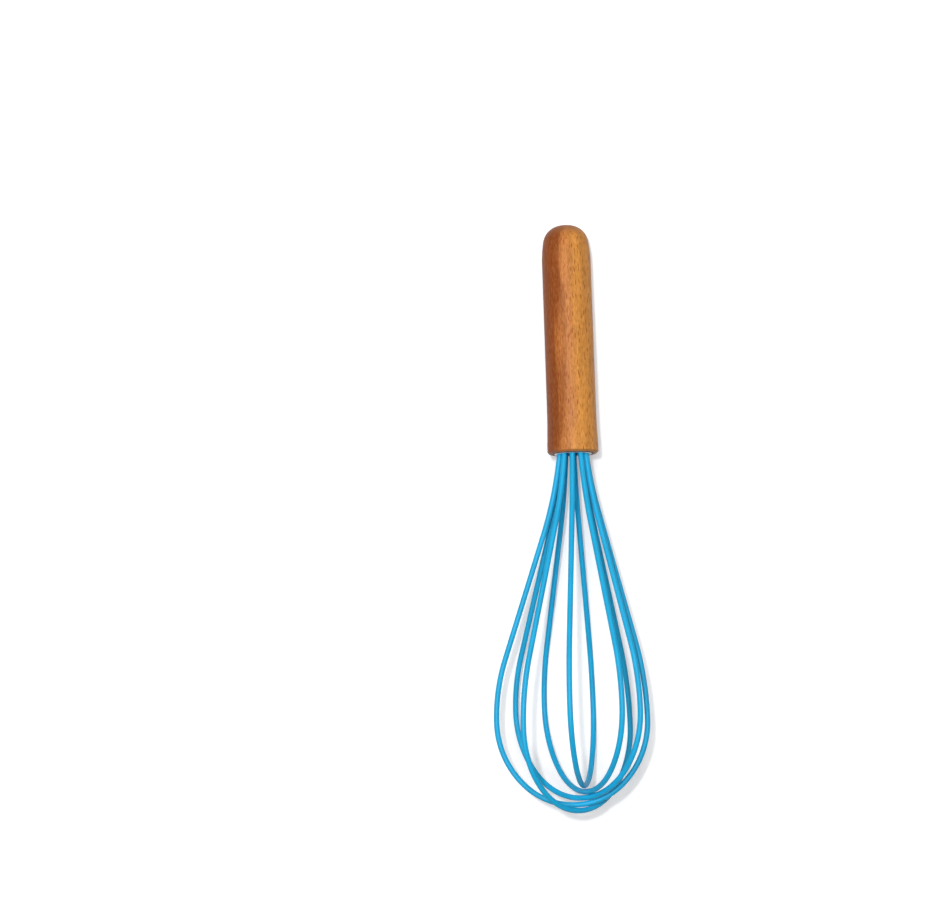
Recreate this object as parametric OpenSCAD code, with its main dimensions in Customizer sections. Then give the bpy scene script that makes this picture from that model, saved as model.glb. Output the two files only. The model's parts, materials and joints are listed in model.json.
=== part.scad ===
// Balloon whisk with a turned beech handle, a steel ferrule and five loops of steel wire in silicone covers.
// Every piece is drawn about the whisk's own axis: the mouth of the handle is at z = 0, the head is
// towards +z and the side that ends up on top is towards +y. lie_down() then lays the whisk on the table.

/* [Handle] */
// Length of the wooden handle from butt to mouth
handle_len = 103; // [80:1:140]
// Diameter of the straight grip
grip_d = 21.8; // [20:0.1:28]
// How much the wood swells out on each side towards the mouth
mouth_swell = 0.4; // [0.1:0.1:1.5]
// Length over which it swells
swell_len = 20; // [10:1:30]
// Straight land between the swell and the mouth
mouth_land = 4; // [1.5:0.5:8]
// Chamfer on the outer edge of the mouth
mouth_chamfer = 0.9; // [0.2:0.1:1.2]
// Radius of the flat crown in the middle of the butt
crown_r = 1.7; // [0.5:0.1:4]
// Length of the whole rounded end
butt_len = 17; // [12:1:24]
// Width lost on each side before the tight round of the butt starts
butt_ease = 0.7; // [0.3:0.1:1.5]
// How much deeper than the ferrule the bore is drilled
bore_over = 4; // [1:0.5:20]

/* [Ferrule] */
// Wall of the steel ferrule that lines the bore
ferrule_wall = 0.8; // [0.4:0.1:1.2]
// How far the ferrule reaches past the resin inside the handle
ferrule_over = 3; // [0:0.5:8]
// How far its rim stands out of the wood
ferrule_proud = 0.3; // [0.1:0.1:1]

/* [Holder] */
// Depth of the wire holder's face below the mouth
holder_set = 4; // [2:0.5:6]
// Length of the wire holder, which is also how far the silicone reaches below its face
holder_len = 11; // [8:1:13]
// How far the flutes wrap round the legs, outwards from the middle of the legs
flute_wrap = 0.6; // [0.2:0.1:0.9]
// Length of the resin plug behind the holder
resin_len = 9; // [8:1:14]
// How far each bare wire end reaches into the resin
wire_tail = 7; // [4:0.5:7]

/* [Wires] */
// Outer diameter of the silicone cover
cover_d = 2.4; // [1.8:0.1:2.8]
// Diameter of the steel wire in it
wire_d = 1.2; // [0.8:0.1:1.5]
// Radius of the ring on which the ten legs stand in the handle, evenly spaced
ring_r = 5.8; // [5.6:0.1:7]

/* [Head] */
// Length from the mouth to the middle of the outermost wire at the tip
head_len = 155.5; // [135:0.1:190]
// Width of a full loop, between the middles of its wires
head_w = 68.5; // [58:0.5:76]
// How much steeper than the way to its widest point a leg's straight runs, as a ratio
lead_share = 1.29; // [1.24:0.01:1.34]
// Radius of the bend at the mouth, just above the holder
bend_r = 28; // [20:1:60]
// Radius of the long flare between that bend and the straight of a leg
flare_r = 185; // [120:5:260]

/* [Fits] */
// Gap all round a steel wire in its cover
cover_gap = 0.06; // [0.05:0.01:0.1]
// Gap round the legs, the ferrule, the holder and the resin
seat_gap = 0.05; // [0.03:0.01:0.1]
// Gap between two loops where they cross at the tip
cross_gap = 0.2; // [0.15:0.05:0.4]
// How far the ball that closes each joint in a wire stands over it
joint_over = 0.01; // [0.01:0.005:0.02]

/* [Hidden] */
// Loops from the innermost to the outermost: the direction of the upper leg, from straight up
// towards +x, and the loop's width and lean as shares of half a full loop
loop_turns = [-10, 29.5, 52, 87, -46.5];
loop_width_shares = [0.9, 0.985, 1, 0.96, 0.94];
loop_lean_shares = [0, 0, -0.09, -0.135, 0.08];
// The place of each loop's upper leg on the ring, and the direction of place 0
ring_places = [0, 1, 2, 3, -1];
ring_turn = -3.5;
// How much of a leg's lead is bent at the mouth
bend_share = 0.39;
// Length of a loop's rounded end as a share of half its width, and the turn at which its easy
// outer arc gives over to the tighter one round the tip
end_len_share = 1.1;
end_turn = 45;
loop_count = len(loop_turns);
loop_ids = [0:loop_count - 1];
sides = [1, -1];
// The two loops that the head lies on
low_loops = [0, 1];
quarter = 90;
half_turn = 180;
tilt_range = [0, 30];
roll_range = [-20, 20];
halvings = 30;
arc_steps = 20;
overrun = 0.5;
$fn = 48;

silicone_blue = "#2aa8de";
beech = "#c58b4c";
steel = "#c9ccd0";
resin = "#e8e2d2";

grip_r = grip_d / 2;
mouth_r = grip_r + mouth_swell;
cover_r = cover_d / 2;
wire_r = wire_d / 2;
holder_end = holder_set + holder_len;
resin_start = holder_end + seat_gap;
ferrule_len = resin_start + resin_len + ferrule_over;
bore_depth = ferrule_len + bore_over;

// How far a leg has moved outwards where it passes the ferrule's rim, and what that takes of the bore
rim_rise = holder_set + ferrule_proud;
leg_drift = bend_r - sqrt(bend_r * bend_r - rim_rise * rim_rise);
leg_slope = asin(rim_rise / bend_r);
ferrule_in_r = ring_r + leg_drift + cover_r / cos(leg_slope) + seat_gap;
ferrule_out_r = ferrule_in_r + ferrule_wall;
bore_r = ferrule_out_r + seat_gap;

// The rounded end: a flat crown, a tight round and a long easy shoulder that runs into the grip,
// then the hollow curve of the swell
butt_r = grip_r - butt_ease - crown_r;
shoulder_angle = 2 * atan(butt_ease / (butt_len - butt_r));
shoulder_r = butt_r + (butt_len - butt_r) / sin(shoulder_angle);
swell_run = swell_len - mouth_land;
swell_r = (swell_run * swell_run + mouth_swell * mouth_swell) / (2 * mouth_swell);
swell_angle = asin(swell_run / swell_r);

// Half a loop's width, its lean to the side and the height where it crosses the whisk's axis
full_half = head_w / 2;
function half_w(i) = full_half * loop_width_shares[i];
function lean(i) = full_half * loop_lean_shares[i];
function axis_z(i) = head_len - (loop_count - 1 - i) * (cover_d + cross_gap);

// A loop ends in an oval of three arcs: one round the tip, whose middle stands at the lean, and an
// easier one on each side up to the widest point. reach() is how far each side bulges there.
end_long = 1 - sin(end_turn);
end_wide = 1 - cos(end_turn);
end_scale = cos(end_turn) * sin(end_turn) - end_wide * end_long;
function side_r(i) = half_w(i) * (end_len_share * cos(end_turn) - end_long) / end_scale;
function tip_r(i) = half_w(i) * (sin(end_turn) - end_len_share * end_wide) / end_scale;
function tip_mid(i) = [lean(i), axis_z(i) - sqrt(tip_r(i) * tip_r(i) - lean(i) * lean(i))];
function end_z(i) = tip_mid(i).y + tip_r(i) - half_w(i) * end_len_share;
function reach(i, side) = half_w(i) + side * lean(i);

// Below its widest point a leg lies in a plane of its own, swung until it meets the leg's place on
// the ring: skew() is how far that place is turned from the loop, foot() how far out the leg starts
// when it is measured in that plane
ring_step = half_turn / loop_count;
function ring_angle(i) = ring_turn + ring_step * ring_places[i];
function skew(i) = ring_angle(i) - loop_turns[i];
function swing(i, side) = atan2(ring_r * sin(skew(i)), reach(i, side) - ring_r * cos(skew(i)));
function foot(i, side) =
    reach(i, side) - norm([reach(i, side) - ring_r * cos(skew(i)), ring_r * sin(skew(i))]);
function lead(i, side) = lead_share * atan2(reach(i, side) - foot(i, side), end_z(i) + holder_set);
function bend(i, side) = bend_share * lead(i, side);

// The belly arc and the straight fill what is left between the flare and the widest point
function gap_x(i, side) =
    reach(i, side) - foot(i, side) - bend_r * (1 - cos(bend(i, side)))
        - flare_r * (cos(bend(i, side)) - cos(lead(i, side)));
function gap_z(i, side) =
    end_z(i) + holder_set - bend_r * sin(bend(i, side))
        - flare_r * (sin(lead(i, side)) - sin(bend(i, side)));
function belly_r(i, side) =
    let (a = lead(i, side)) (gap_z(i, side) * sin(a) - gap_x(i, side) * cos(a)) / (1 - cos(a));

// Joints along one side of a loop, as [out from the axis, along the axis]
function polar(r, t) = r * [cos(t), sin(t)];
function bend_start(i, side) = [foot(i, side), -holder_set];
function bend_mid(i, side) = bend_start(i, side) + [bend_r, 0];
function flare_start(i, side) = bend_mid(i, side) + polar(bend_r, half_turn - bend(i, side));
function flare_mid(i, side) = flare_start(i, side) + polar(flare_r, -bend(i, side));
function flare_end(i, side) = flare_mid(i, side) + polar(flare_r, half_turn - lead(i, side));
function belly_mid(i, side) = [reach(i, side) - belly_r(i, side), end_z(i)];
function belly_start(i, side) = belly_mid(i, side) + polar(belly_r(i, side), -lead(i, side));
function widest(i, side) = [reach(i, side), end_z(i)];
function side_mid(i, side) = [reach(i, side) - side_r(i), end_z(i)];
function side_end(i, side) = side_mid(i, side) + polar(side_r(i), end_turn);

// Rest on the table. The axis stands at seat_h() over the table where it leaves the mouth, from the
// handle's side, and at drop_h() from the lower leg of a loop: the whisk tilts until both agree.
function seat_h(tilt) =
    (grip_r - shoulder_r) * cos(tilt) + (handle_len - butt_len) * sin(tilt) + shoulder_r;
function drop_h(i, tilt, roll) =
    let (
        down = cos(loop_turns[i] + roll) * cos(tilt),
        leg_down = cos(loop_turns[i] - swing(i, -1) + roll) * cos(tilt),
        r = belly_r(i, -1)
    )
    reach(i, -1) * down - r * leg_down - end_z(i) * sin(tilt)
        + r * sqrt(leg_down * leg_down + sin(tilt) * sin(tilt)) + cover_r;
function settle_tilt(roll, lo, hi, n) =
    let (m = (lo + hi) / 2)
    n == 0 ? m
    : seat_h(m) < drop_h(low_loops[1], m, roll) ? settle_tilt(roll, m, hi, n - 1)
    : settle_tilt(roll, lo, m, n - 1);
function tilt_at(roll) = settle_tilt(roll, tilt_range[0], tilt_range[1], halvings);
function settle_roll(lo, hi, n) =
    let (m = (lo + hi) / 2, tilt = tilt_at(m))
    n == 0 ? m
    : drop_h(low_loops[0], tilt, m) < drop_h(low_loops[1], tilt, m) ? settle_roll(m, hi, n - 1)
    : settle_roll(lo, m, n - 1);
rest_roll = settle_roll(roll_range[0], roll_range[1], halvings);
rest_tilt = tilt_at(rest_roll);

// The outer bounds of the whisk as it lies, which put the origin under the middle of it
function side_x(i, side) = side * reach(i, side) * sin(loop_turns[i] + rest_roll);
function tip_y(i) =
    let (up = cos(loop_turns[i] + rest_roll) * sin(rest_tilt))
    tip_mid(i).y * cos(rest_tilt) - tip_mid(i).x * up + cover_r
        + tip_r(i) * sqrt(cos(rest_tilt) * cos(rest_tilt) + up * up);
all_x = [for (i = loop_ids, side = sides) side_x(i, side)];
butt_y = (handle_len - butt_r) * cos(rest_tilt) + crown_r * sin(rest_tilt) + butt_r;
mid_x = (max(all_x) + min(all_x)) / 2;
mid_y = (butt_y - max([for (i = loop_ids) tip_y(i)])) / 2;

module lie_down() {
    translate([-mid_x, -mid_y, seat_h(rest_tilt)])
        rotate([quarter - rest_tilt, 0, 0])
            rotate([0, 0, -rest_roll])
                children();
}

// Turns what is drawn in the xz plane so that +x points in the given direction, from straight up
module at_turn(turn) {
    rotate([0, 0, quarter - turn])
        children();
}

function arc(mid, r, from, to) = [for (k = [0:arc_steps]) mid + polar(r, from + (to - from) * k / arc_steps)];

// Turned in one go: the outline from the crown of the butt to the mouth, then back down the bore
module handle() {
    color(beech)
        lie_down()
            rotate_extrude()
                polygon(concat(
                    [[0, -handle_len]],
                    arc([crown_r, butt_r - handle_len], butt_r, -quarter, -shoulder_angle),
                    arc([grip_r - shoulder_r, butt_len - handle_len], shoulder_r, -shoulder_angle, 0),
                    arc([grip_r + swell_r, -swell_len], swell_r, half_turn, half_turn - swell_angle),
                    [
                        [mouth_r, -mouth_chamfer],
                        [mouth_r - mouth_chamfer, 0],
                        [bore_r, 0],
                        [bore_r, -bore_depth],
                        [0, -bore_depth]
                    ]
                ));
}

// A drawn tube with a rounded rim
module ferrule() {
    rim_r = ferrule_wall / 2;
    color(steel)
        lie_down()
            rotate_extrude() {
                translate([ferrule_in_r, -ferrule_len])
                    square([ferrule_wall, ferrule_len + ferrule_proud - rim_r]);
                translate([ferrule_in_r + rim_r, ferrule_proud - rim_r])
                    circle(r = rim_r);
            }
}

// Puts a copy of its children on each leg of each loop
module each_leg() {
    for (i = loop_ids, side = sides)
        at_turn(ring_angle(i))
            translate([side * ring_r, 0, 0])
                children();
}

// A fluted core that presses the legs against the ferrule
module wire_holder() {
    color(steel)
        lie_down()
            difference() {
                translate([0, 0, -holder_end])
                    cylinder(r = ring_r + flute_wrap, h = holder_len);
                each_leg()
                    translate([0, 0, -holder_end - overrun])
                        cylinder(r = cover_r + seat_gap, h = holder_len + 2 * overrun);
            }
}

// Cast resin that grips the bare wire ends behind the holder
module resin_plug() {
    color(resin)
        lie_down()
            difference() {
                translate([0, 0, -resin_start - resin_len])
                    cylinder(r = ferrule_in_r - seat_gap, h = resin_len);
                each_leg()
                    translate([0, 0, -holder_end - wire_tail - seat_gap])
                        cylinder(r = wire_r + seat_gap, h = wire_tail + overrun);
            }
}

// Round bar bent about mid from one angle to another, in the xz plane
module bent_bar(mid, r, from, to, d) {
    translate([mid.x, 0, mid.y])
        rotate([quarter, 0, 0])
            rotate_extrude(angle = to - from, start = from)
                translate([r, 0])
                    circle(d = d);
}

module straight_bar(from, to, d) {
    step = to - from;
    translate([from.x, 0, from.y])
        rotate([0, atan2(step.x, step.y), 0])
            cylinder(d = d, h = norm(step));
}

module joint_ball(at, d) {
    translate([at.x, 0, at.y])
        sphere(d = d + 2 * joint_over);
}

// One leg of a loop up to its widest point, swung about that point into the leg's own plane
module loop_leg(i, side, d, depth) {
    a = lead(i, side);
    b = bend(i, side);
    joints = [
        bend_start(i, side), flare_start(i, side), flare_end(i, side), belly_start(i, side), widest(i, side)
    ];
    translate([reach(i, side), 0, 0])
        rotate([0, 0, swing(i, side)])
            translate([-reach(i, side), 0, 0]) {
                straight_bar([foot(i, side), -depth], joints[0], d);
                bent_bar(bend_mid(i, side), bend_r, half_turn - b, half_turn, d);
                bent_bar(flare_mid(i, side), flare_r, half_turn - a, half_turn - b, d);
                straight_bar(joints[2], joints[3], d);
                bent_bar(belly_mid(i, side), belly_r(i, side), -a, 0, d);
                for (at = joints)
                    joint_ball(at, d);
            }
}

// The rest of that side, up to the arc round the tip
module loop_shoulder(i, side, d) {
    bent_bar(side_mid(i, side), side_r(i), 0, end_turn, d);
    joint_ball(side_end(i, side), d);
}

// A whole loop of bar with diameter d, whose legs start at the given depth below the mouth
module loop_bar(i, d, depth) {
    at_turn(loop_turns[i]) {
        for (side = sides)
            rotate([0, 0, side > 0 ? 0 : half_turn]) {
                loop_leg(i, side, d, depth);
                loop_shoulder(i, side, d);
            }
        bent_bar(tip_mid(i), tip_r(i), end_turn, half_turn - end_turn, d);
    }
}

module loop_cover(i) {
    color(silicone_blue)
        lie_down()
            difference() {
                loop_bar(i, cover_d, holder_end);
                loop_bar(i, wire_d + 2 * cover_gap, holder_end + overrun);
            }
}

module loop_wire(i) {
    color(steel)
        lie_down()
            loop_bar(i, wire_d, holder_end + wire_tail);
}

handle();
ferrule();
wire_holder();
resin_plug();
for (i = loop_ids) {
    loop_cover(i);
    loop_wire(i);
}
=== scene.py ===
"""A balloon whisk with a beech handle and silicone loops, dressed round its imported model."""

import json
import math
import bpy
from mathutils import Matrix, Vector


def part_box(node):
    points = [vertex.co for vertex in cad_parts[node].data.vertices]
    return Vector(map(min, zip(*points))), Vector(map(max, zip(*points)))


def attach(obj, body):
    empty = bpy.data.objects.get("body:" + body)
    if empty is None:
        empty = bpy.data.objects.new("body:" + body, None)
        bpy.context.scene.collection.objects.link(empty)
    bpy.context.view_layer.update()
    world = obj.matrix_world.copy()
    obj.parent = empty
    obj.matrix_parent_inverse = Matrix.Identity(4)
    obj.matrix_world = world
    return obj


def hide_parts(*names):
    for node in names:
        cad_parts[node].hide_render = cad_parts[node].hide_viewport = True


bl_info = {
    "name": "Balloon Whisk",
    "version": (1, 0, 0),
    "blender": (4, 5, 0),
    "location": "3D View > Sidebar > Whisk",
    "description": "Turns the handle, sweeps the silicone loops and lights the whisk on a pale floor",
    "category": "Object",
}

import bmesh
import bpy
from bpy.props import FloatProperty, FloatVectorProperty, IntProperty, PointerProperty
from mathutils import Matrix, Vector

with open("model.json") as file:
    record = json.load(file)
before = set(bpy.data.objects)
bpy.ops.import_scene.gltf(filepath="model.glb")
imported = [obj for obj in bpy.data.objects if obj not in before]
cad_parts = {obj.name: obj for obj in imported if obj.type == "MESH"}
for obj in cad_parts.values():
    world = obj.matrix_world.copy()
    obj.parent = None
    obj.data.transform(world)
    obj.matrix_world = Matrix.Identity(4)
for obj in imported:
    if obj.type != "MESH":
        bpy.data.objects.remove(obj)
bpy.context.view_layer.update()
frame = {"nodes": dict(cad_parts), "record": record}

MM = 0.001
BODY = "root"
LOOPS = range(1, 6)
QUARTER = math.pi / 2

# The straight stretch of the handle, which gives the whisk's axis
GRIP = next(m for m in frame["record"]["mounts"] if m["name"] == "handle_grip")
GRIP_LEN = GRIP["dims"]["length_mm"] * MM
HEADWARD = -Vector(GRIP["axis"]).normalized()
RIGHT = Vector((1, 0, 0))
TOP = HEADWARD.cross(RIGHT)


def across(node):
    """A CAD node's width, which for a piece turned about the whisk's axis is its diameter."""
    low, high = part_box(node)
    return high.x - low.x


def length_property(name, description, default):
    return FloatProperty(name=name, description=description, default=default, unit="LENGTH",
                         subtype="DISTANCE", precision=5)


def colour_property(name, description, default):
    return FloatVectorProperty(name=name, description=description, default=default,
                               subtype="COLOR", size=3, min=0, max=1)


class WhiskHandleSettings(bpy.types.PropertyGroup):
    """Sizes and colours of the turned handle."""

    swell_len: length_property("Swell Length", "Length over which the wood swells to the mouth", 20 * MM)
    mouth_land: length_property("Mouth Land", "Straight land between the swell and the mouth", 4 * MM)
    mouth_chamfer: length_property("Mouth Chamfer", "Chamfer on the outer edge of the mouth", 0.9 * MM)
    edge_round: length_property("Edge Round", "Radius of the sanded edges of that chamfer", 0.15 * MM)
    bore_round: length_property("Bore Round", "Radius of the edge between mouth and bore", 0.22 * MM)
    bore_gap: length_property("Bore Gap", "Gap between the ferrule and the bore", 0.05 * MM)
    bore_over: length_property("Bore Over", "How much deeper than the ferrule the bore is", 4 * MM)
    crown_r: length_property("Crown Radius", "Radius of the flat crown of the butt", 1.7 * MM)
    butt_len: length_property("Butt Length", "Length of the whole rounded end", 17 * MM)
    butt_ease: length_property("Butt Ease", "Width lost before the tight round starts", 0.7 * MM)
    segments: IntProperty(name="Segments", description="Steps round the handle", default=144, min=24)
    rosy_wood: colour_property("Rosy Wood", "Oiled beech along the middle", (0.545, 0.190, 0.042))
    # Golden and dark wood lie on fixed sides of the handle: partly wood tone, partly painted sheen on the
    # golden side and painted shade on the dark side
    golden_wood_and_sheen: colour_property("Golden Wood", "Paler wood down one side", (0.650, 0.268, 0.051))
    dark_wood_and_shade: colour_property("Dark Wood", "Darker streak down the other side", (0.270, 0.060, 0.005))
    # Pale Fibre is partly a painted glint: paler fibre colour that stands in for sheen
    pale_fibre_and_sheen: colour_property("Pale Fibre", "Glints of paler fibre", (0.800, 0.560, 0.340))
    fleck: colour_property("Fleck", "Short dark flecks along the grain", (0.240, 0.036, 0.004))
    end_wood: colour_property("End Wood", "End grain, where the oil soaks in", (0.300, 0.120, 0.045))
    # Bore Line is painted shade: a dark line round the bore, darker towards the top of the mouth
    painted_bore_shade: colour_property("Bore Line", "Dark line round the bore", (0.022, 0.009, 0.004))
    band_lean: FloatProperty(name="Band Lean", default=0.033,
                             description="Slope at which the bands of wood cross the handle's length")


class WhiskLoopSettings(bpy.types.PropertyGroup):
    """Sizes and colour of the silicone loops."""

    cover_d: length_property("Cover Diameter", "Outer diameter of the silicone", 2.4 * MM)
    wire_d: length_property("Wire Diameter", "Diameter of the steel wire in it", 1.2 * MM)
    wire_gap: length_property("Wire Gap", "Gap all round the wire in its cover", 0.06 * MM)
    joint_over: length_property("Joint Over", "How far a joint of the packed wire stands out", 0.01 * MM)
    ring_r: length_property("Ring Radius", "Radius of the ring on which the legs stand", 5.8 * MM)
    foot: length_property("Foot", "Depth of the cover's ends below the mouth", 15 * MM)
    bend_depth: length_property("Bend Depth", "Depth below the mouth where the legs start to bend", 4 * MM)
    bend_r: length_property("Bend Radius", "Radius of the bend at the mouth", 28 * MM)
    flare_r: length_property("Flare Radius", "Radius of the long flare above that bend", 185 * MM)
    lead_share: FloatProperty(name="Lead Share", default=1.29, subtype="FACTOR",
                              description="How much steeper than the way to its widest point a leg runs")
    bend_share: FloatProperty(name="Bend Share", default=0.39, subtype="FACTOR",
                              description="How much of that lead is bent at the mouth")
    end_turn: FloatProperty(name="End Turn", description="Turn at which the tight tip arc takes over",
                            default=math.radians(45), subtype="ANGLE", unit="ROTATION")
    end_share: FloatProperty(name="End Share", default=1.1, subtype="FACTOR",
                             description="Length of the rounded end as a share of half the width")
    flat_share: FloatProperty(name="Flat Share", default=0.8, subtype="FACTOR",
                              description="Share of the tip's height above which a loop lies in one plane")
    spacing: length_property("Spacing", "Length of one step along a loop", 1.1 * MM)
    sides: IntProperty(name="Sides", description="Steps round the silicone", default=28, min=8)
    silicone: colour_property("Silicone", "Colour of the covers", (0.007, 0.380, 0.680))
    bloom: colour_property("Bloom", "Fine pale bloom on the silicone", (0.35, 0.72, 0.95))


class WhiskMetalSettings(bpy.types.PropertyGroup):
    """Colours of the pieces in the mouth of the handle."""

    steel: colour_property("Steel", "Stainless steel of the ferrule, holder and wires", (0.66, 0.67, 0.69))
    # Joint Line is painted shade on the ferrule's outside next to the wood, darker towards the top
    painted_joint_shade: colour_property("Joint Line", "Dark line between ferrule and wood", (0.020, 0.010, 0.006))
    resin: colour_property("Resin", "Cast resin round the wire ends", (0.80, 0.75, 0.63))
    bubble: colour_property("Bubble", "Small bubbles in the resin", (0.90, 0.88, 0.82))


class WhiskStageSettings(bpy.types.PropertyGroup):
    """Camera, floor and lamps."""

    lens: FloatProperty(name="Focal Length", description="Camera lens in mm", default=77.3)
    camera_height: length_property("Camera Height", "Height of the camera over the floor", 0.9)
    camera_x: length_property("Camera X", "Sideways place of the camera", -44.6 * MM)
    camera_y: length_property("Camera Y", "Lengthways place of the camera", 9.8 * MM)
    camera_roll: FloatProperty(name="Camera Roll", description="Turn of the picture about the view line",
                               default=math.radians(-1.63), subtype="ANGLE", unit="ROTATION")
    camera_pitch: FloatProperty(name="Camera Pitch", description="Tip of the view line up the picture",
                                default=math.radians(0.965), subtype="ANGLE", unit="ROTATION")
    floor_size: length_property("Floor Size", "Side of the square floor", 6.0)
    floor: colour_property("Floor", "Pale floor, as it lights the whisk from below", (0.56, 0.565, 0.57))
    seen_floor: colour_property("Seen Floor", "Pale floor, as seen, also in gloss", (0.87, 0.87, 0.875))
    lift_colour: colour_property("Lift Colour", "Colour of the floor's own glow", (0.93, 0.95, 1.0))
    floor_lift: FloatProperty(name="Floor Lift", default=0.29,
                              description="Glow that the camera and gloss see on the floor near the whisk")
    far_lift: FloatProperty(name="Far Lift", default=1.08,
                            description="Glow that they see on the floor far away, where it is white")
    fade_from: length_property("Fade From", "Distance at which the floor starts to fade to white", 0.25)
    fade_to: length_property("Fade To", "Distance at which the floor is white", 1.1)
    world_level: FloatProperty(name="World Level", description="Strength of the even light all round",
                               default=0.03)


# Placing


def whisk_place(handle):
    """Matrix from the whisk's own axes, with the mouth's middle at zero and the head along +z."""
    mouth = Vector(GRIP["pos_m"]) + HEADWARD * (GRIP_LEN / 2 + handle.swell_len)
    turn = Matrix((RIGHT, TOP, HEADWARD)).transposed().to_4x4()
    return Matrix.Translation(mouth) @ turn


def arc_points(mid, radius, start, end, steps):
    """Points along an arc in a plane, from the angle start to the angle end."""
    angles = [start + (end - start) * k / steps for k in range(steps + 1)]
    return [Vector((mid[0] + radius * math.cos(a), mid[1] + radius * math.sin(a))) for a in angles]


def new_piece(name, mesh, material):
    """An object for a finished mesh, with its material, that rides on the whisk."""
    piece = bpy.data.objects.new(name, mesh)
    bpy.context.scene.collection.objects.link(piece)
    mesh.materials.clear()
    mesh.materials.append(material)
    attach(piece, BODY)
    return piece


def plain_mesh(obj, name):
    """What an object's modifiers make of it, as a mesh of its own; the object is removed."""
    evaluated = obj.evaluated_get(bpy.context.evaluated_depsgraph_get())
    mesh = bpy.data.meshes.new_from_object(evaluated)
    mesh.name = name
    bpy.data.objects.remove(obj)
    return mesh


# Shader building


def feed(tree, socket, value):
    """Links a socket to another one, or sets its value."""
    if isinstance(value, bpy.types.NodeSocket):
        tree.links.new(value, socket)
    else:
        socket.default_value = value


def add_node(tree, kind, settings=None, **inputs):
    """Adds a node, sets its properties and feeds its inputs, by name or as i0 and i1 by number."""
    node = tree.nodes.new(kind)
    for name, value in (settings or {}).items():
        setattr(node, name, value)
    for name, value in inputs.items():
        key = int(name[1:]) if name[0] == "i" and name[1:].isdigit() else name.replace("_", " ")
        feed(tree, node.inputs[key], value)
    return node


def math_node(tree, operation, first, second=0.0):
    node = add_node(tree, "ShaderNodeMath", {"operation": operation}, i0=first, i1=second)
    return node.outputs[0]


def smooth_step(tree, value, low, high, to_low=0.0, to_high=1.0):
    """Goes smoothly from to_low to to_high while a value goes from low to high."""
    node = add_node(tree, "ShaderNodeMapRange", {"interpolation_type": "SMOOTHSTEP"}, Value=value,
                    From_Min=low, From_Max=high, To_Min=to_low, To_Max=to_high)
    return node.outputs["Result"]


def spread(tree, value, low, high):
    """Spreads a value between 0 and 1 over the range from low to high."""
    return add_node(tree, "ShaderNodeMapRange", Value=value, To_Min=low, To_Max=high).outputs["Result"]


def mix_colours(tree, factor, first, second, blend="MIX"):
    """Mixes two colours; a colour is a socket or three numbers."""
    node = add_node(tree, "ShaderNodeMix", {"data_type": "RGBA", "blend_type": blend})
    inputs = {socket.identifier: socket for socket in node.inputs}
    feed(tree, inputs["Factor_Float"], factor)
    for name, colour in (("A_Color", first), ("B_Color", second)):
        feed(tree, inputs[name], colour if isinstance(colour, bpy.types.NodeSocket) else (*colour, 1))
    return next(s for s in node.outputs if s.identifier == "Result_Color")


def shade_colour(tree, colour, level):
    """Makes a colour lighter or darker by a level that changes over the surface."""
    grey = add_node(tree, "ShaderNodeCombineColor", Red=level, Green=level, Blue=level).outputs[0]
    return mix_colours(tree, 1.0, colour, grey, "MULTIPLY")


def new_group(name, inputs, outputs):
    """A shader node group with named number or vector inputs and number outputs."""
    tree = bpy.data.node_groups.new(name, "ShaderNodeTree")
    for label, kind, default in inputs:
        socket = tree.interface.new_socket(label, in_out="INPUT", socket_type=kind)
        if default is not None:
            socket.default_value = default
    for label in outputs:
        tree.interface.new_socket(label, in_out="OUTPUT", socket_type="NodeSocketFloat")
    return tree, tree.nodes.new("NodeGroupInput").outputs, tree.nodes.new("NodeGroupOutput").inputs


def stretched(tree, source):
    """The group's vector divided by its width across and its length along z."""
    parts = add_node(tree, "ShaderNodeSeparateXYZ", Vector=source["Vector"]).outputs
    x = math_node(tree, "DIVIDE", parts["X"], source["Width"])
    y = math_node(tree, "DIVIDE", parts["Y"], source["Width"])
    z = math_node(tree, "DIVIDE", parts["Z"], source["Length"])
    return add_node(tree, "ShaderNodeCombineXYZ", X=x, Y=y, Z=z).outputs["Vector"]


def fibre_group():
    """Long soft lines: wood fibre, brushing on steel, drawing lines on silicone."""
    tree, source, sink = new_group(
        "Fibre Lines",
        [("Vector", "NodeSocketVector", None), ("Width", "NodeSocketFloat", 0.5 * MM),
         ("Length", "NodeSocketFloat", 15 * MM), ("Detail", "NodeSocketFloat", 2.0)],
        ["Lines"],
    )
    noise = add_node(tree, "ShaderNodeTexNoise", Vector=stretched(tree, source), Scale=1.0,
                     Detail=source["Detail"], Roughness=0.55)
    tree.links.new(smooth_step(tree, noise.outputs["Fac"], 0.28, 0.72), sink["Lines"])
    return tree


def speckle_group():
    """Scattered small spots: the flecks of beech, and dust and bloom on other surfaces."""
    tree, source, sink = new_group(
        "Scattered Spots",
        [("Vector", "NodeSocketVector", None), ("Width", "NodeSocketFloat", 1 * MM),
         ("Length", "NodeSocketFloat", 1 * MM), ("Reach", "NodeSocketFloat", 0.3),
         ("Softness", "NodeSocketFloat", 0.15)],
        ["Spots"],
    )
    cells = add_node(tree, "ShaderNodeTexVoronoi", Vector=stretched(tree, source), Scale=1.0,
                     Randomness=1.0)
    outer = math_node(tree, "ADD", source["Reach"], source["Softness"])
    spots = smooth_step(tree, cells.outputs["Distance"], source["Reach"], outer, 1.0, 0.0)
    tree.links.new(spots, sink["Spots"])
    return tree


def use_group(tree, group, **inputs):
    return add_node(tree, "ShaderNodeGroup", {"node_tree": group}, **inputs).outputs[0]


def empty_material(name):
    material = bpy.data.materials.new(name)
    material.use_nodes = True
    material.node_tree.nodes.clear()
    return material, material.node_tree


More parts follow.
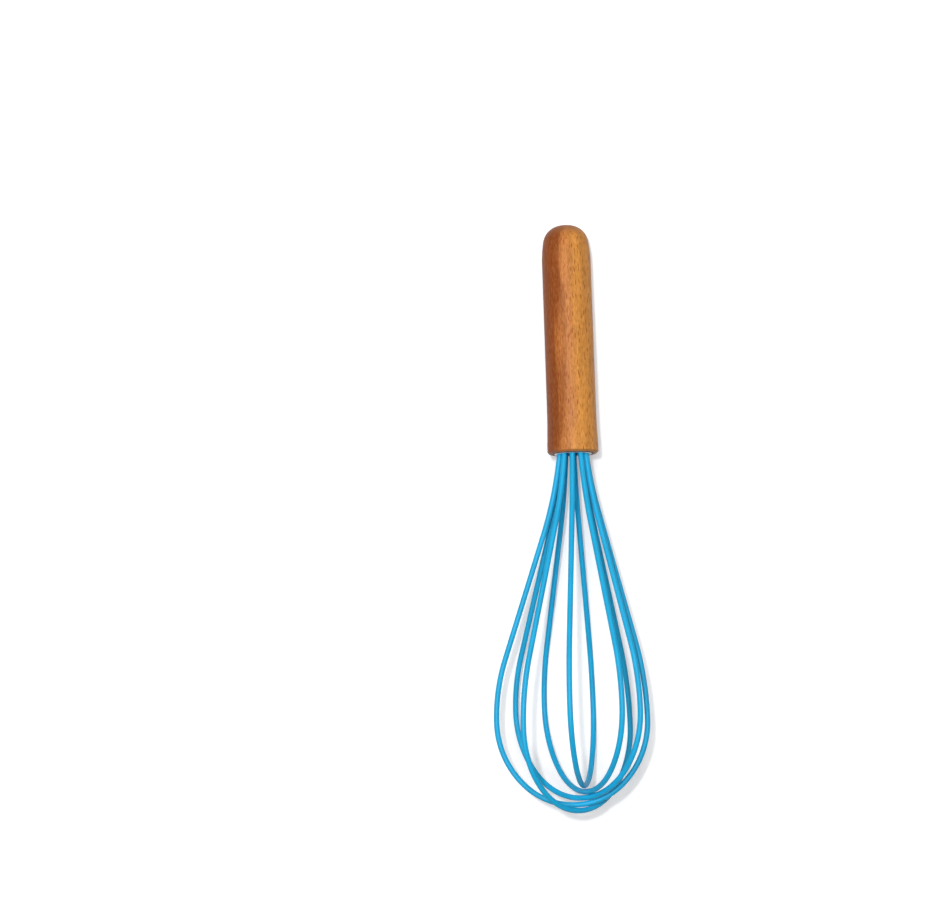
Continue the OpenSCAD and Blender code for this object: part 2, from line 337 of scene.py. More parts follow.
def new_material(name, base, **values):
    """A material whose surface is one Principled BSDF, with plain values set on its sockets."""
    material, tree = empty_material(name)
    shader = add_node(tree, "ShaderNodeBsdfPrincipled", Base_Color=(*base, 1), **values)
    add_node(tree, "ShaderNodeOutputMaterial", Surface=shader.outputs["BSDF"])
    return material, tree, shader


def whisk_coordinates(tree, place):
    """Object coordinates turned into the whisk's own axes, so patterns follow the handle."""
    back = place.inverted()
    coordinates = tree.nodes.new("ShaderNodeTexCoord").outputs["Object"]
    return add_node(tree, "ShaderNodeMapping", Vector=coordinates, Location=back.to_translation(),
                    Rotation=back.to_euler()).outputs["Vector"]


def axis_distance(tree, parts):
    """Distance from the whisk's axis."""
    squares = [math_node(tree, "MULTIPLY", parts[name], parts[name]) for name in "XY"]
    return math_node(tree, "SQRT", math_node(tree, "ADD", *squares))


def raise_surface(tree, shader, height, distance, strength):
    bump = add_node(tree, "ShaderNodeBump", Height=height, Distance=distance, Strength=strength)
    tree.links.new(bump.outputs["Normal"], shader.inputs["Normal"])


# Materials

# How far streaks and waves push the bands of wood to either side, and where across the handle dark wood
# turns rosy and rosy wood golden; the dark side is partly painted shade, the golden side partly painted
# sheen
STREAK_PUSH = 0.8 * MM
WAVE_PUSH = 1.2 * MM
DARK_TO_ROSY = (-6.9 * MM, -1.9 * MM)
ROSY_TO_GOLDEN = (-2.5 * MM, 4.5 * MM)
# Lowest and highest level of the wood's colour in streaks and mottling, and in single fibres
STREAK_LEVELS = (0.88, 1.08)
FIBRE_LEVELS = (0.88, 1.04)
# How much of their own colour the painted glint (pale fibre standing in for sheen), flecks and end grain
# show
PAINTED_GLINT_SHARE = 0.09
FLECK_SHARE = 0.80
THIN_FLECK_SHARE = 0.52
END_GRAIN_SHARE = 0.65
# How squarely wood faces along the axis where end grain starts to show, and where it is full
END_GRAIN_FACING = (0.25, 0.95)
# Painted shade on the wood round the bore, a dark line that is darker towards the top: between which
# distances from the bore it fades, from which depth to which it comes up towards the mouth, and its levels
# at two heights over the axis
BORE_SHADE_FADE = (0.45 * MM, 1.5 * MM)
BORE_SHADE_DEPTHS = (-0.9 * MM, -0.3 * MM)
BORE_SHADE_HEIGHTS = (-5.0 * MM, 4.0 * MM)
BORE_SHADE_LEVELS = (0.30, 0.92)
# Painted shade on the steel in the joint with the wood, darker towards the top: between which distances
# from the ferrule's outer radius it comes up, and its levels at two heights over the axis
JOINT_SHADE_EDGE = (-0.13 * MM, -0.03 * MM)
JOINT_SHADE_HEIGHTS = (0.0, 5.0 * MM)
JOINT_SHADE_LEVELS = (0.0, 0.95)
# Roughness of the silicone, and what its drawing lines and bloom add
SILICONE_ROUGH = 0.40
DRAWN_ROUGH = 0.07
BLOOM_ROUGH = 0.08
BLOOM_SHARE = 0.05
# What brushing takes off the steel's colour and how much of it shows, and what marks add to roughness
BRUSHED_LEVEL = 0.82
BRUSHED_SHARE = 0.5
MARK_ROUGH = 0.06
# How far the clouds in the resin go to white, and how much of their own colour its bubbles show
CLOUD_WHITE = 0.25
BUBBLE_SHARE = 0.4


def beech_material(handle, place, groups):
    """Oiled beech: rosy, golden and dark wood side by side, partly painted shade and sheen, soft fibre with
    a painted glint, short flecks, dark end grain, painted shade round the bore.
    """
    material, tree, shader = new_material("Oiled Beech", handle.rosy_wood, Specular_IOR_Level=0.16)
    spot = whisk_coordinates(tree, place)
    parts = add_node(tree, "ShaderNodeSeparateXYZ", Vector=spot).outputs
    streaks = use_group(tree, groups["fibre"], Vector=spot, Width=2.4 * MM, Length=30 * MM)
    waves = use_group(tree, groups["fibre"], Vector=spot, Width=9 * MM, Length=34 * MM, Detail=1.0)
    fibre = use_group(tree, groups["fibre"], Vector=spot, Width=0.45 * MM, Length=2.6 * MM, Detail=3.0)
    mottle = use_group(tree, groups["fibre"], Vector=spot, Width=0.85 * MM, Length=2.2 * MM, Detail=3.0)
    flecks = use_group(tree, groups["speckle"], Vector=spot, Width=0.80 * MM, Length=6.0 * MM,
                       Reach=0.17, Softness=0.08)
    thin = use_group(tree, groups["speckle"], Vector=spot, Width=0.55 * MM, Length=3.6 * MM,
                     Reach=0.14, Softness=0.12)

    wander = math_node(tree, "ADD", spread(tree, streaks, -STREAK_PUSH, STREAK_PUSH),
                       spread(tree, waves, -WAVE_PUSH, WAVE_PUSH))
    middle = -(handle.swell_len + GRIP_LEN + handle.butt_len) / 2
    lean = math_node(tree, "MULTIPLY", math_node(tree, "SUBTRACT", parts["Z"], middle), handle.band_lean)
    edge = math_node(tree, "ADD", parts["X"], math_node(tree, "ADD", wander, lean))
    # Bands fixed across the handle: partly wood tone, partly painted shade on the dark side and painted
    # sheen on the golden side
    colour = mix_colours(tree, smooth_step(tree, edge, *DARK_TO_ROSY), handle.dark_wood_and_shade,
                         handle.rosy_wood)
    colour = mix_colours(tree, smooth_step(tree, edge, *ROSY_TO_GOLDEN), colour, handle.golden_wood_and_sheen)
    fine_level = math_node(tree, "MULTIPLY", spread(tree, fibre, *FIBRE_LEVELS),
                           spread(tree, mottle, *STREAK_LEVELS))
    level = math_node(tree, "MULTIPLY", spread(tree, streaks, *STREAK_LEVELS), fine_level)
    colour = shade_colour(tree, colour, level)
    # Painted glint: paler fibre colour that stands in for sheen
    painted_glint = math_node(tree, "MULTIPLY", math_node(tree, "MULTIPLY", fibre, mottle), PAINTED_GLINT_SHARE)
    colour = mix_colours(tree, painted_glint, colour, handle.pale_fibre_and_sheen)
    dark = math_node(tree, "MAXIMUM", math_node(tree, "MULTIPLY", flecks, FLECK_SHARE),
                     math_node(tree, "MULTIPLY", thin, THIN_FLECK_SHARE))
    colour = mix_colours(tree, dark, colour, handle.fleck)

    normal = add_node(tree, "ShaderNodeNewGeometry").outputs["Normal"]
    facing = add_node(tree, "ShaderNodeVectorMath", {"operation": "DOT_PRODUCT"}, i0=normal,
                      i1=HEADWARD).outputs["Value"]
    end_grain = smooth_step(tree, math_node(tree, "ABSOLUTE", facing), *END_GRAIN_FACING, 0.0,
                            END_GRAIN_SHARE)
    colour = mix_colours(tree, end_grain, colour, handle.end_wood)
    bore_r = across("ferrule") / 2 + handle.bore_gap
    fade_from, fade_to = (bore_r + distance for distance in BORE_SHADE_FADE)
    # Painted shade round the bore on the mouth's face, darker towards the top and fading a little way into
    # the bore
    line = math_node(tree, "MULTIPLY",
                     smooth_step(tree, axis_distance(tree, parts), fade_from, fade_to, 1.0, 0.0),
                     smooth_step(tree, parts["Y"], *BORE_SHADE_HEIGHTS, *BORE_SHADE_LEVELS))
    line = math_node(tree, "MULTIPLY", line, smooth_step(tree, parts["Z"], *BORE_SHADE_DEPTHS))
    colour = mix_colours(tree, line, colour, handle.painted_bore_shade)
    tree.links.new(colour, shader.inputs["Base Color"])

    rough = math_node(tree, "MAXIMUM", spread(tree, fibre, 0.42, 0.56), line)
    tree.links.new(rough, shader.inputs["Roughness"])
    height = math_node(tree, "SUBTRACT", math_node(tree, "MULTIPLY", fibre, 0.60), dark)
    raise_surface(tree, shader, height, distance=0.05 * MM, strength=0.6)
    return material


def silicone_material(loops, groups):
    """Satin silicone: faint drawing lines along the tube, fine bloom and a soft sheen."""
    material, tree, shader = new_material("Blue Silicone", loops.silicone, Specular_IOR_Level=0.21)
    around = add_node(tree, "ShaderNodeAttribute", {"attribute_name": "around"}).outputs["Vector"]
    along = add_node(tree, "ShaderNodeAttribute", {"attribute_name": "along"}).outputs["Fac"]
    parts = add_node(tree, "ShaderNodeSeparateXYZ", Vector=around).outputs
    spot = add_node(tree, "ShaderNodeCombineXYZ", X=parts["X"], Y=parts["Y"], Z=along).outputs[0]
    drawn = use_group(tree, groups["fibre"], Vector=spot, Width=0.30 * MM, Length=18 * MM)
    cloud = use_group(tree, groups["fibre"], Vector=spot, Width=3 * MM, Length=9 * MM)
    bloom = use_group(tree, groups["speckle"], Vector=spot, Width=0.35 * MM, Length=0.40 * MM,
                      Reach=0.10, Softness=0.30)
    colour = shade_colour(tree, loops.silicone, spread(tree, cloud, 0.94, 1.04))
    colour = mix_colours(tree, math_node(tree, "MULTIPLY", bloom, BLOOM_SHARE), colour, loops.bloom)
    tree.links.new(colour, shader.inputs["Base Color"])
    rough = math_node(tree, "ADD", math_node(tree, "MULTIPLY", drawn, DRAWN_ROUGH),
                      math_node(tree, "MULTIPLY", bloom, BLOOM_ROUGH))
    tree.links.new(math_node(tree, "ADD", rough, SILICONE_ROUGH), shader.inputs["Roughness"])
    height = math_node(tree, "ADD", math_node(tree, "MULTIPLY", drawn, 0.5), bloom)
    raise_surface(tree, shader, height, distance=0.012 * MM, strength=0.5)
    return material


def steel_material(metal, place, groups):
    """Satin stainless steel, brushed round the whisk's axis, with painted shade on the ferrule's outside
    that is darker towards the top.
    """
    material, tree, shader = new_material("Satin Steel", metal.steel, Metallic=1.0)
    parts = add_node(tree, "ShaderNodeSeparateXYZ", Vector=whisk_coordinates(tree, place)).outputs
    turn = math_node(tree, "ARCTAN2", parts["X"], parts["Y"])
    ferrule_r = across("ferrule") / 2
    round_way = math_node(tree, "MULTIPLY", turn, ferrule_r)
    spot = add_node(tree, "ShaderNodeCombineXYZ", X=parts["Z"], Y=0.0, Z=round_way).outputs[0]
    brushed = use_group(tree, groups["fibre"], Vector=spot, Width=0.08 * MM, Length=6 * MM, Detail=3.0)
    marks = use_group(tree, groups["speckle"], Vector=spot, Width=1.2 * MM, Length=1.6 * MM,
                      Reach=0.05, Softness=0.35)
    rough = math_node(tree, "ADD", spread(tree, brushed, 0.20, 0.36),
                      math_node(tree, "MULTIPLY", marks, MARK_ROUGH))
    dull = tuple(BRUSHED_LEVEL * c for c in metal.steel)
    colour = mix_colours(tree, math_node(tree, "MULTIPLY", brushed, BRUSHED_SHARE), metal.steel, dull)
    # Painted shade on the ferrule's outer wall next to the wood: none below the axis and darkest towards
    # the top
    line_from, line_to = (ferrule_r + distance for distance in JOINT_SHADE_EDGE)
    line = math_node(tree, "MULTIPLY", smooth_step(tree, axis_distance(tree, parts), line_from, line_to),
                     smooth_step(tree, parts["Y"], *JOINT_SHADE_HEIGHTS, *JOINT_SHADE_LEVELS))
    tree.links.new(mix_colours(tree, line, colour, metal.painted_joint_shade), shader.inputs["Base Color"])
    tree.links.new(math_node(tree, "MAXIMUM", rough, line), shader.inputs["Roughness"])
    raise_surface(tree, shader, brushed, distance=0.01 * MM, strength=0.4)
    return material


def resin_material(metal, place, groups):
    """Cast resin, slightly cloudy, with a few trapped bubbles."""
    material, tree, shader = new_material("Cast Resin", metal.resin, Coat_Weight=0.2)
    spot = whisk_coordinates(tree, place)
    cloud = use_group(tree, groups["fibre"], Vector=spot, Width=3 * MM, Length=4 * MM)
    bubbles = use_group(tree, groups["speckle"], Vector=spot, Width=0.9 * MM, Length=0.9 * MM,
                        Reach=0.10, Softness=0.08)
    pale = tuple(c + CLOUD_WHITE * (1 - c) for c in metal.resin)
    colour = mix_colours(tree, cloud, metal.resin, pale)
    colour = mix_colours(tree, math_node(tree, "MULTIPLY", bubbles, BUBBLE_SHARE), colour, metal.bubble)
    tree.links.new(colour, shader.inputs["Base Color"])
    tree.links.new(spread(tree, cloud, 0.28, 0.42), shader.inputs["Roughness"])
    raise_surface(tree, shader, bubbles, distance=0.05 * MM, strength=0.5)
    return material


# Handle

# Steps along the tight round of the butt, its shoulder, the grip, the swell and each sanded edge
BUTT_STEPS = 14
SHOULDER_STEPS = 8
GRIP_STEPS = 8
SWELL_STEPS = 12
EDGE_STEPS = 4
# Where rings of points hold the flats beside the bore's edge and in its corner, as shares of the edge's
# radius and of the bore's depth and radius
LIP_HOLD = 1.8
DEPTH_HOLD = 0.98
FLOOR_HOLD = 0.96


def handle_outline(handle):
    """The turned outline as (radius, height), from the butt round the outside and down the bore."""
    grip_r = GRIP["dims"]["r_mm"] * MM
    mouth_r = across("handle") / 2
    swell = mouth_r - grip_r
    bore_r = across("ferrule") / 2 + handle.bore_gap
    length = handle.swell_len + GRIP_LEN + handle.butt_len
    butt_r = grip_r - handle.butt_ease - handle.crown_r
    shoulder = 2 * math.atan(handle.butt_ease / (handle.butt_len - butt_r))
    shoulder_r = butt_r + (handle.butt_len - butt_r) / math.sin(shoulder)
    swell_run = handle.swell_len - handle.mouth_land
    swell_r = (swell_run ** 2 + swell ** 2) / (2 * swell)
    swell_turn = math.asin(swell_run / swell_r)
    low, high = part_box("ferrule")
    ferrule_run = (high.y - low.y) / abs(HEADWARD.y) - across("ferrule") * abs(HEADWARD.z / HEADWARD.y)
    depth = ferrule_run + handle.bore_over
    chamfer, edge, lip = handle.mouth_chamfer, handle.edge_round, handle.bore_round
    setback = chamfer + edge * math.tan(QUARTER / 4)

    points = [Vector((0, -length)), Vector((handle.crown_r / 2, -length))]
    points += arc_points((handle.crown_r, butt_r - length), butt_r, -QUARTER, -shoulder, BUTT_STEPS)
    points += arc_points((grip_r - shoulder_r, handle.butt_len - length), shoulder_r, -shoulder, 0,
                         SHOULDER_STEPS)[1:]
    points += [Vector((grip_r, -handle.swell_len - GRIP_LEN * (1 - k / GRIP_STEPS)))
               for k in range(1, GRIP_STEPS)]
    points += arc_points((grip_r + swell_r, -handle.swell_len), swell_r, math.pi,
                         math.pi - swell_turn, SWELL_STEPS)
    points += [Vector((mouth_r, -handle.mouth_land / 2)), Vector((mouth_r, -setback - edge))]
    points += arc_points((mouth_r - edge, -setback), edge, 0, QUARTER / 2, EDGE_STEPS)
    points += arc_points((mouth_r - setback, -edge), edge, QUARTER / 2, QUARTER, EDGE_STEPS)
    points += [Vector((mouth_r - setback - edge, 0)), Vector((bore_r + lip * LIP_HOLD, 0))]
    points += arc_points((bore_r + lip, -lip), lip, QUARTER, math.pi, EDGE_STEPS)
    points += [Vector((bore_r, -below)) for below in (lip * LIP_HOLD, depth / 2, depth * DEPTH_HOLD, depth)]
    points += [Vector((bore_r * FLOOR_HOLD, -depth)), Vector((0, -depth))]
    return points


def turned_mesh(name, outline, segments):
    """Turns an outline, whose first and last points lie on the axis, about z."""
    work = bmesh.new()
    rings = []
    for point in outline:
        if point.x == 0:
            rings.append([work.verts.new((0, 0, point.y))])
            continue
        turns = [2 * math.pi * k / segments for k in range(segments)]
        rings.append([work.verts.new((point.x * math.cos(a), point.x * math.sin(a), point.y))
                      for a in turns])
    for lower, upper in zip(rings, rings[1:]):
        for k in range(segments):
            after = (k + 1) % segments
            corners = [lower[k % len(lower)], lower[after % len(lower)],
                       upper[after % len(upper)], upper[k % len(upper)]]
            work.faces.new(list(dict.fromkeys(corners)))
    bmesh.ops.recalc_face_normals(work, faces=work.faces)
    for face in work.faces:
        face.smooth = True
    mesh = bpy.data.meshes.new(name)
    work.to_mesh(mesh)
    work.free()
    return mesh


# Loops

# Steps along a leg's bend, its flare and its belly, and along the side and the tip of the rounded end
BEND_STEPS = 12
FLARE_STEPS = 24
BELLY_STEPS = 60
SIDE_STEPS = 30
TIP_STEPS = 60
# How far a piece may lie off the node that it stands for
PLACE_LIMIT = 0.1 * MM


def line_turn(spots):
    """Turn about z of the line through the axis round which the spots are gathered."""
    xx, yy, xy = (sum(f(s) for s in spots) for f in (
        lambda s: s.x * s.x, lambda s: s.y * s.y, lambda s: s.x * s.y))
    return math.atan2(2 * xy, xx - yy) / 2


def loop_measures(number, loops, place):
    """A loop's turn, its feet's turn from it, its reach to each side and its tip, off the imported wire."""
    back = place.inverted()
    spots = [back @ v.co for v in frame["nodes"][f"loop_{number}_wire"].data.vertices]
    top = max(s.z for s in spots)
    turn = line_turn([s for s in spots if s.z > loops.flat_share * top])
    skew = line_turn([s for s in spots if s.z < -loops.foot]) - turn
    skew -= math.pi * round(skew / math.pi)
    out = Vector((math.cos(turn), math.sin(turn), 0))
    reaches = [s.dot(out) for s in spots]
    wire_r = loops.wire_d / 2
    rim = wire_r + loops.joint_over
    return turn, skew, max(reaches) - rim, -min(reaches) - rim, top - wire_r


def loop_leg(loops, reach, skew, end_height):
    """Centre line of a leg as (out, sideways, height), from its foot to its widest point."""
    gap = Vector((reach - loops.ring_r * math.cos(skew), loops.ring_r * math.sin(skew)))
    foot = reach - gap.length
    rise = end_height + loops.bend_depth
    lead = loops.lead_share * math.atan2(gap.length, rise)
    bend = loops.bend_share * lead
    bend_mid = Vector((foot + loops.bend_r, -loops.bend_depth))
    flare_mid = bend_mid + (loops.flare_r - loops.bend_r) * Vector((math.cos(bend), -math.sin(bend)))
    gap_out = (gap.length - loops.bend_r * (1 - math.cos(bend))
               - loops.flare_r * (math.cos(bend) - math.cos(lead)))
    gap_up = rise - loops.bend_r * math.sin(bend) - loops.flare_r * (math.sin(lead) - math.sin(bend))
    belly_r = (gap_up * math.sin(lead) - gap_out * math.cos(lead)) / (1 - math.cos(lead))
    flat = [Vector((foot, -loops.foot))]
    flat += arc_points(bend_mid, loops.bend_r, math.pi, math.pi - bend, BEND_STEPS)
    flat += arc_points(flare_mid, loops.flare_r, math.pi - bend, math.pi - lead, FLARE_STEPS)[1:]
    flat += arc_points((reach - belly_r, end_height), belly_r, -lead, 0, BELLY_STEPS)
    along = gap.normalized()
    return [Vector((reach - (reach - p.x) * along.x, (reach - p.x) * along.y, p.y)) for p in flat]


def loop_line(number, loops, place):
    """The whole centre line of a loop in the row's frame."""
    turn, skew, far, near, tip = loop_measures(number, loops, place)
    half, lean = (far + near) / 2, (far - near) / 2
    end_height = tip - half * loops.end_share
    sine, cosine = math.sin(loops.end_turn), math.cos(loops.end_turn)
    long_left, wide_left = 1 - sine, 1 - cosine
    scale = cosine * sine - wide_left * long_left
    side_r = half * (loops.end_share * cosine - long_left) / scale
    tip_r = half * (sine - loops.end_share * wide_left) / scale
    sides = []
    for reach in (far, near):
        side = arc_points((reach - side_r, end_height), side_r, 0, loops.end_turn, SIDE_STEPS)[1:]
        sides.append(loop_leg(loops, reach, skew, end_height) + [Vector((p.x, 0, p.y)) for p in side])
    over = arc_points((lean, tip - tip_r), tip_r, loops.end_turn, math.pi - loops.end_turn, TIP_STEPS)
    line = sides[0] + [Vector((p.x, 0, p.y)) for p in over[1:-1]]
    line += [Vector((-p.x, -p.y, p.z)) for p in sides[1][::-1]]
    to_row = place @ Matrix.Rotation(turn, 4, "Z")
    return [to_row @ p for p in line]


def line_object(name, points):
    """A mesh of one open run of edges."""
    mesh = bpy.data.meshes.new(name)
    mesh.from_pydata([tuple(p) for p in points], [(k, k + 1) for k in range(len(points) - 1)], [])
    line = bpy.data.objects.new(name, mesh)
    bpy.context.scene.collection.objects.link(line)
    return line


def tube_tree():
    """Geometry nodes that sweep a silicone tube along a line and mark places round and along it."""
    tree = bpy.data.node_groups.new("Silicone Tube", "GeometryNodeTree")
    tree.is_modifier = True
    tree.interface.new_socket("Line", in_out="INPUT", socket_type="NodeSocketGeometry")
    for label, kind in (("Diameter", "NodeSocketFloat"), ("Spacing", "NodeSocketFloat"),
                        ("Sides", "NodeSocketInt"), ("Material", "NodeSocketMaterial")):
        tree.interface.new_socket(label, in_out="INPUT", socket_type=kind)
    tree.interface.new_socket("Tube", in_out="OUTPUT", socket_type="NodeSocketGeometry")
    source = tree.nodes.new("NodeGroupInput").outputs
    curve = add_node(tree, "GeometryNodeMeshToCurve", Mesh=source["Line"]).outputs["Curve"]
    even = add_node(tree, "GeometryNodeResampleCurve", {"mode": "LENGTH"}, Curve=curve,
                    Length=source["Spacing"]).outputs["Curve"]
    length = add_node(tree, "GeometryNodeSplineParameter").outputs["Length"]
    marked = add_node(tree, "GeometryNodeStoreNamedAttribute", {"data_type": "FLOAT", "domain": "POINT"},
                      Geometry=even, Name="along", Value=length).outputs["Geometry"]
    radius = add_node(tree, "ShaderNodeMath", {"operation": "DIVIDE"}, i0=source["Diameter"], i1=2.0)
    ring = add_node(tree, "GeometryNodeCurvePrimitiveCircle", Resolution=source["Sides"],
                    Radius=radius.outputs[0]).outputs["Curve"]
    place = add_node(tree, "GeometryNodeInputPosition").outputs["Position"]
    ring = add_node(tree, "GeometryNodeStoreNamedAttribute",
                    {"data_type": "FLOAT_VECTOR", "domain": "POINT"},
                    Geometry=ring, Name="around", Value=place).outputs["Geometry"]
    tube = add_node(tree, "GeometryNodeCurveToMesh", Curve=marked, Profile_Curve=ring).outputs["Mesh"]
    smooth = add_node(tree, "GeometryNodeSetShadeSmooth", Geometry=tube).outputs["Geometry"]
    real = add_node(tree, "GeometryNodeRealizeInstances", Geometry=smooth).outputs["Geometry"]
    done = add_node(tree, "GeometryNodeSetMaterial", Geometry=real,
                    Material=source["Material"]).outputs["Geometry"]
    tree.links.new(done, tree.nodes.new("NodeGroupOutput").inputs["Tube"])
    return tree


def set_inputs(modifier, **values):
    """Sets a geometry nodes modifier's inputs, found by name, through their identifiers."""
    for item in modifier.node_group.interface.items_tree:
        if item.item_type == "SOCKET" and item.in_out == "INPUT" and item.name in values:
            modifier[item.identifier] = values[item.name]


def cover_mesh(name, points, loops, tree, material):
    """A hollow silicone tube along the points."""
    line = line_object(name, points)
    sweep = line.modifiers.new("Tube", "NODES")
    sweep.node_group = tree
    set_inputs(sweep, Diameter=loops.cover_d, Spacing=loops.spacing, Sides=loops.sides,
               Material=material)
    tube = bpy.data.objects.new(name, plain_mesh(line, name + " skin"))
    bpy.context.scene.collection.objects.link(tube)
    wall = tube.modifiers.new("Wall", "SOLIDIFY")
    wall.thickness = (loops.cover_d - loops.wire_d) / 2 - loops.wire_gap
    wall.offset = -1
    return plain_mesh(tube, name)


def check_place(piece, node):
    """Stops if a piece doesn't lie where its CAD node lies."""
    spots = [v.co for v in piece.data.vertices]
    worst = max(abs(pick(s[axis] for s in spots) - corner[axis])
                for pick, corner in zip((min, max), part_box(node)) for axis in range(3))
    if worst > PLACE_LIMIT:
        raise RuntimeError(f"{piece.name} is {worst / MM:.2f} mm off its node {node}")


# Stage

# Name, place, side, power in watts and colour of each lamp
LAMPS = (
    ("Key", (-0.16, 0.165, 1.25), 0.04, 5.8, (0.97, 0.98, 1.0)),
    ("Overhead Box", (-0.14, 0.18, 1.22), 0.9, 12.6, (1.0, 0.985, 0.95)),
    ("Right Box", (0.95, 0.10, 0.75), 0.7, 0.4, (0.96, 0.98, 1.0)),
)
# How far the camera sees, in metres
CAMERA_RANGE = 50


def seen_rays(tree):
    """1 for the rays that show a thing: straight to the camera, off gloss or through what is clear."""
    rays = add_node(tree, "ShaderNodeLightPath").outputs
    return math_node(tree, "MAXIMUM", rays["Is Camera Ray"],
                     math_node(tree, "MAXIMUM", rays["Is Glossy Ray"], rays["Is Transmission Ray"]))


def floor_material(stage):
    """Pale floor that shows white to the camera and to gloss, and still takes soft shadows."""
    material, tree = empty_material("Pale Floor")
    seen = seen_rays(tree)
    matt = add_node(tree, "ShaderNodeBsdfDiffuse",
                    Color=mix_colours(tree, seen, stage.floor, stage.seen_floor))
    spot = tree.nodes.new("ShaderNodeTexCoord").outputs["Object"]
    away = add_node(tree, "ShaderNodeVectorMath", {"operation": "LENGTH"}, i0=spot).outputs["Value"]
    level = smooth_step(tree, away, stage.fade_from, stage.fade_to, stage.floor_lift, stage.far_lift)
    lift = add_node(tree, "ShaderNodeEmission", Color=(*stage.lift_colour, 1),
                    Strength=math_node(tree, "MULTIPLY", seen, level))
    both = add_node(tree, "ShaderNodeAddShader", i0=matt.outputs[0], i1=lift.outputs[0])
    add_node(tree, "ShaderNodeOutputMaterial", Surface=both.outputs[0])
    return material


def add_lamp(name, place, size, power, colour):
    """A square area lamp that points at the middle of the floor, under the whisk."""
    light = bpy.data.lights.new(name, "AREA")
    light.shape = "SQUARE"
    light.size = size
    light.energy = power
    light.color = colour
    lamp = bpy.data.objects.new(name, light)
    turn = Vector(place).to_track_quat("Z", "Y").to_matrix().to_4x4()
    lamp.matrix_world = Matrix.Translation(place) @ turn
    bpy.context.scene.collection.objects.link(lamp)


def add_camera(stage):
    """A camera that looks down on the whisk from the photograph's place."""
    lens = bpy.data.cameras.new("Camera")
    lens.lens = stage.lens
    lens.clip_end = CAMERA_RANGE
    camera = bpy.data.objects.new("Camera", lens)
    camera.matrix_world = (
        Matrix.Translation((stage.camera_x, stage.camera_y, stage.camera_height))
        @ Matrix.Rotation(stage.camera_roll, 4, "Z")
        @ Matrix.Rotation(stage.camera_pitch, 4, "X")
    )
    bpy.context.scene.collection.objects.link(camera)
    bpy.context.scene.camera = camera


# Operators


class WHISK_OT_materials(bpy.types.Operator):
    """Build the wood, silicone, steel and resin"""

    bl_idname = "whisk.materials"
    bl_label = "Whisk Materials"

    def execute(self, context):
        scene = context.scene
        place = whisk_place(scene.whisk_handle)
        groups = {"fibre": fibre_group(), "speckle": speckle_group()}
        beech_material(scene.whisk_handle, place, groups)
        silicone_material(scene.whisk_loops, groups)
        steel_material(scene.whisk_metal, place, groups)
        resin_material(scene.whisk_metal, place, groups)
        return {"FINISHED"}


class WHISK_OT_handle(bpy.types.Operator):
    """Turn the wooden handle"""

    bl_idname = "whisk.handle"
    bl_label = "Whisk Handle"

    def execute(self, context):
        handle = context.scene.whisk_handle
        mesh = turned_mesh("turned_handle", handle_outline(handle), handle.segments)
        mesh.transform(whisk_place(handle))
        piece = new_piece("turned_handle", mesh, bpy.data.materials["Oiled Beech"])
        check_place(piece, "handle")
        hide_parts("handle")
        return {"FINISHED"}


class WHISK_OT_loops(bpy.types.Operator):
    """Sweep the five silicone covers along their loops"""

    bl_idname = "whisk.loops"
    bl_label = "Silicone Loops"

    def execute(self, context):
        loops = context.scene.whisk_loops
        place = whisk_place(context.scene.whisk_handle)
        silicone = bpy.data.materials["Blue Silicone"]
        tree = tube_tree()
        for number in LOOPS:
            points = loop_line(number, loops, place)
            mesh = cover_mesh(f"silicone_loop_{number}", points, loops, tree, silicone)
            piece = new_piece(f"silicone_loop_{number}", mesh, silicone)
            check_place(piece, f"loop_{number}_cover")
            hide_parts(f"loop_{number}_cover")
        return {"FINISHED"}


class WHISK_OT_metal(bpy.types.Operator):
    """Dress the ferrule, the wire holder, the wires and the resin"""

    bl_idname = "whisk.metal"
    bl_label = "Steel and Resin"

    def execute(self, context):
        steel = bpy.data.materials["Satin Steel"]
        dressed = {"ferrule": steel, "wire_holder": steel, "resin_plug": bpy.data.materials["Cast Resin"]}
        dressed.update({f"loop_{number}_wire": steel for number in LOOPS})
        for name, material in dressed.items():
            for slot in frame["nodes"][name].material_slots:
                slot.material = material
        return {"FINISHED"}


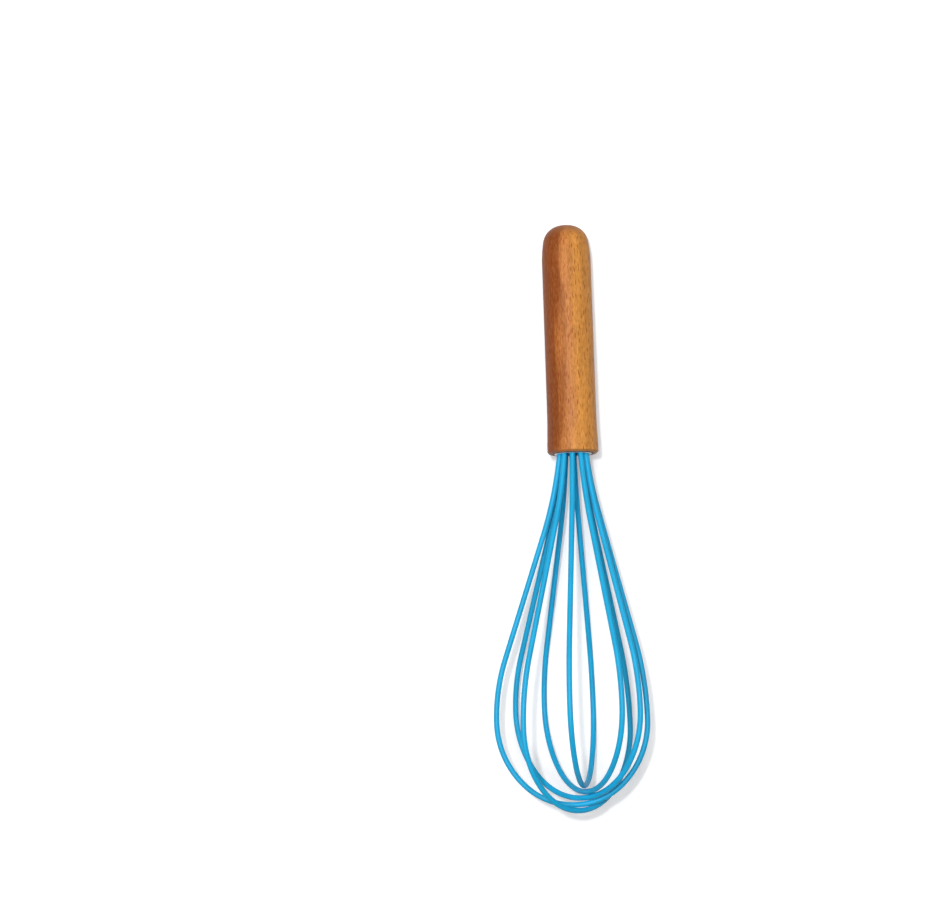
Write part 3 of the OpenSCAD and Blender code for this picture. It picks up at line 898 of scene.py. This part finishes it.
class WHISK_OT_stage(bpy.types.Operator):
    """Lay the pale floor, hang the lamps and set the camera"""

    bl_idname = "whisk.stage"
    bl_label = "Floor, Lamps and Camera"

    def execute(self, context):
        stage = context.scene.whisk_stage
        half = stage.floor_size / 2
        mesh = bpy.data.meshes.new("floor")
        mesh.from_pydata([(-half, -half, 0), (half, -half, 0), (half, half, 0), (-half, half, 0)],
                         [], [(0, 1, 2, 3)])
        mesh.materials.append(floor_material(stage))
        floor = bpy.data.objects.new("floor", mesh)
        context.scene.collection.objects.link(floor)

        for lamp in LAMPS:
            add_lamp(*lamp)

        world = bpy.data.worlds.new("Room")
        world.use_nodes = True
        tree = world.node_tree
        backdrop = tree.nodes["Background"]
        backdrop.inputs["Color"].default_value = (1, 1, 1, 1)
        level = smooth_step(tree, seen_rays(tree), 0, 1, stage.world_level, 1.0)
        tree.links.new(level, backdrop.inputs["Strength"])
        context.scene.world = world
        context.scene.view_settings.view_transform = "Standard"
        add_camera(stage)
        return {"FINISHED"}


class WHISK_PT_panel(bpy.types.Panel):
    """Lists the whisk's pieces in the sidebar"""

    bl_idname = "WHISK_PT_panel"
    bl_label = "Balloon Whisk"
    bl_space_type = "VIEW_3D"
    bl_region_type = "UI"
    bl_category = "Whisk"

    def draw(self, context):
        for operator in OPERATORS:
            self.layout.operator(operator.bl_idname)
        for label, group in (("Handle", context.scene.whisk_handle), ("Loops", context.scene.whisk_loops),
                             ("Metal", context.scene.whisk_metal), ("Stage", context.scene.whisk_stage)):
            box = self.layout.box()
            box.label(text=label)
            for name in group.bl_rna.properties.keys():
                if name not in ("rna_type", "name"):
                    box.prop(group, name)


OPERATORS = (WHISK_OT_materials, WHISK_OT_handle, WHISK_OT_loops, WHISK_OT_metal, WHISK_OT_stage)
SETTINGS = {
    "whisk_handle": WhiskHandleSettings,
    "whisk_loops": WhiskLoopSettings,
    "whisk_metal": WhiskMetalSettings,
    "whisk_stage": WhiskStageSettings,
}


def register():
    for cls in (*SETTINGS.values(), *OPERATORS, WHISK_PT_panel):
        bpy.utils.register_class(cls)
    for name, cls in SETTINGS.items():
        setattr(bpy.types.Scene, name, PointerProperty(type=cls))


def unregister():
    for name in SETTINGS:
        delattr(bpy.types.Scene, name)
    for cls in (WHISK_PT_panel, *reversed(OPERATORS), *reversed(SETTINGS.values())):
        bpy.utils.unregister_class(cls)


def main():
    register()
    bpy.ops.whisk.materials()
    bpy.ops.whisk.handle()
    bpy.ops.whisk.loops()
    bpy.ops.whisk.metal()
    bpy.ops.whisk.stage()


if __name__ == "__main__":
    main()
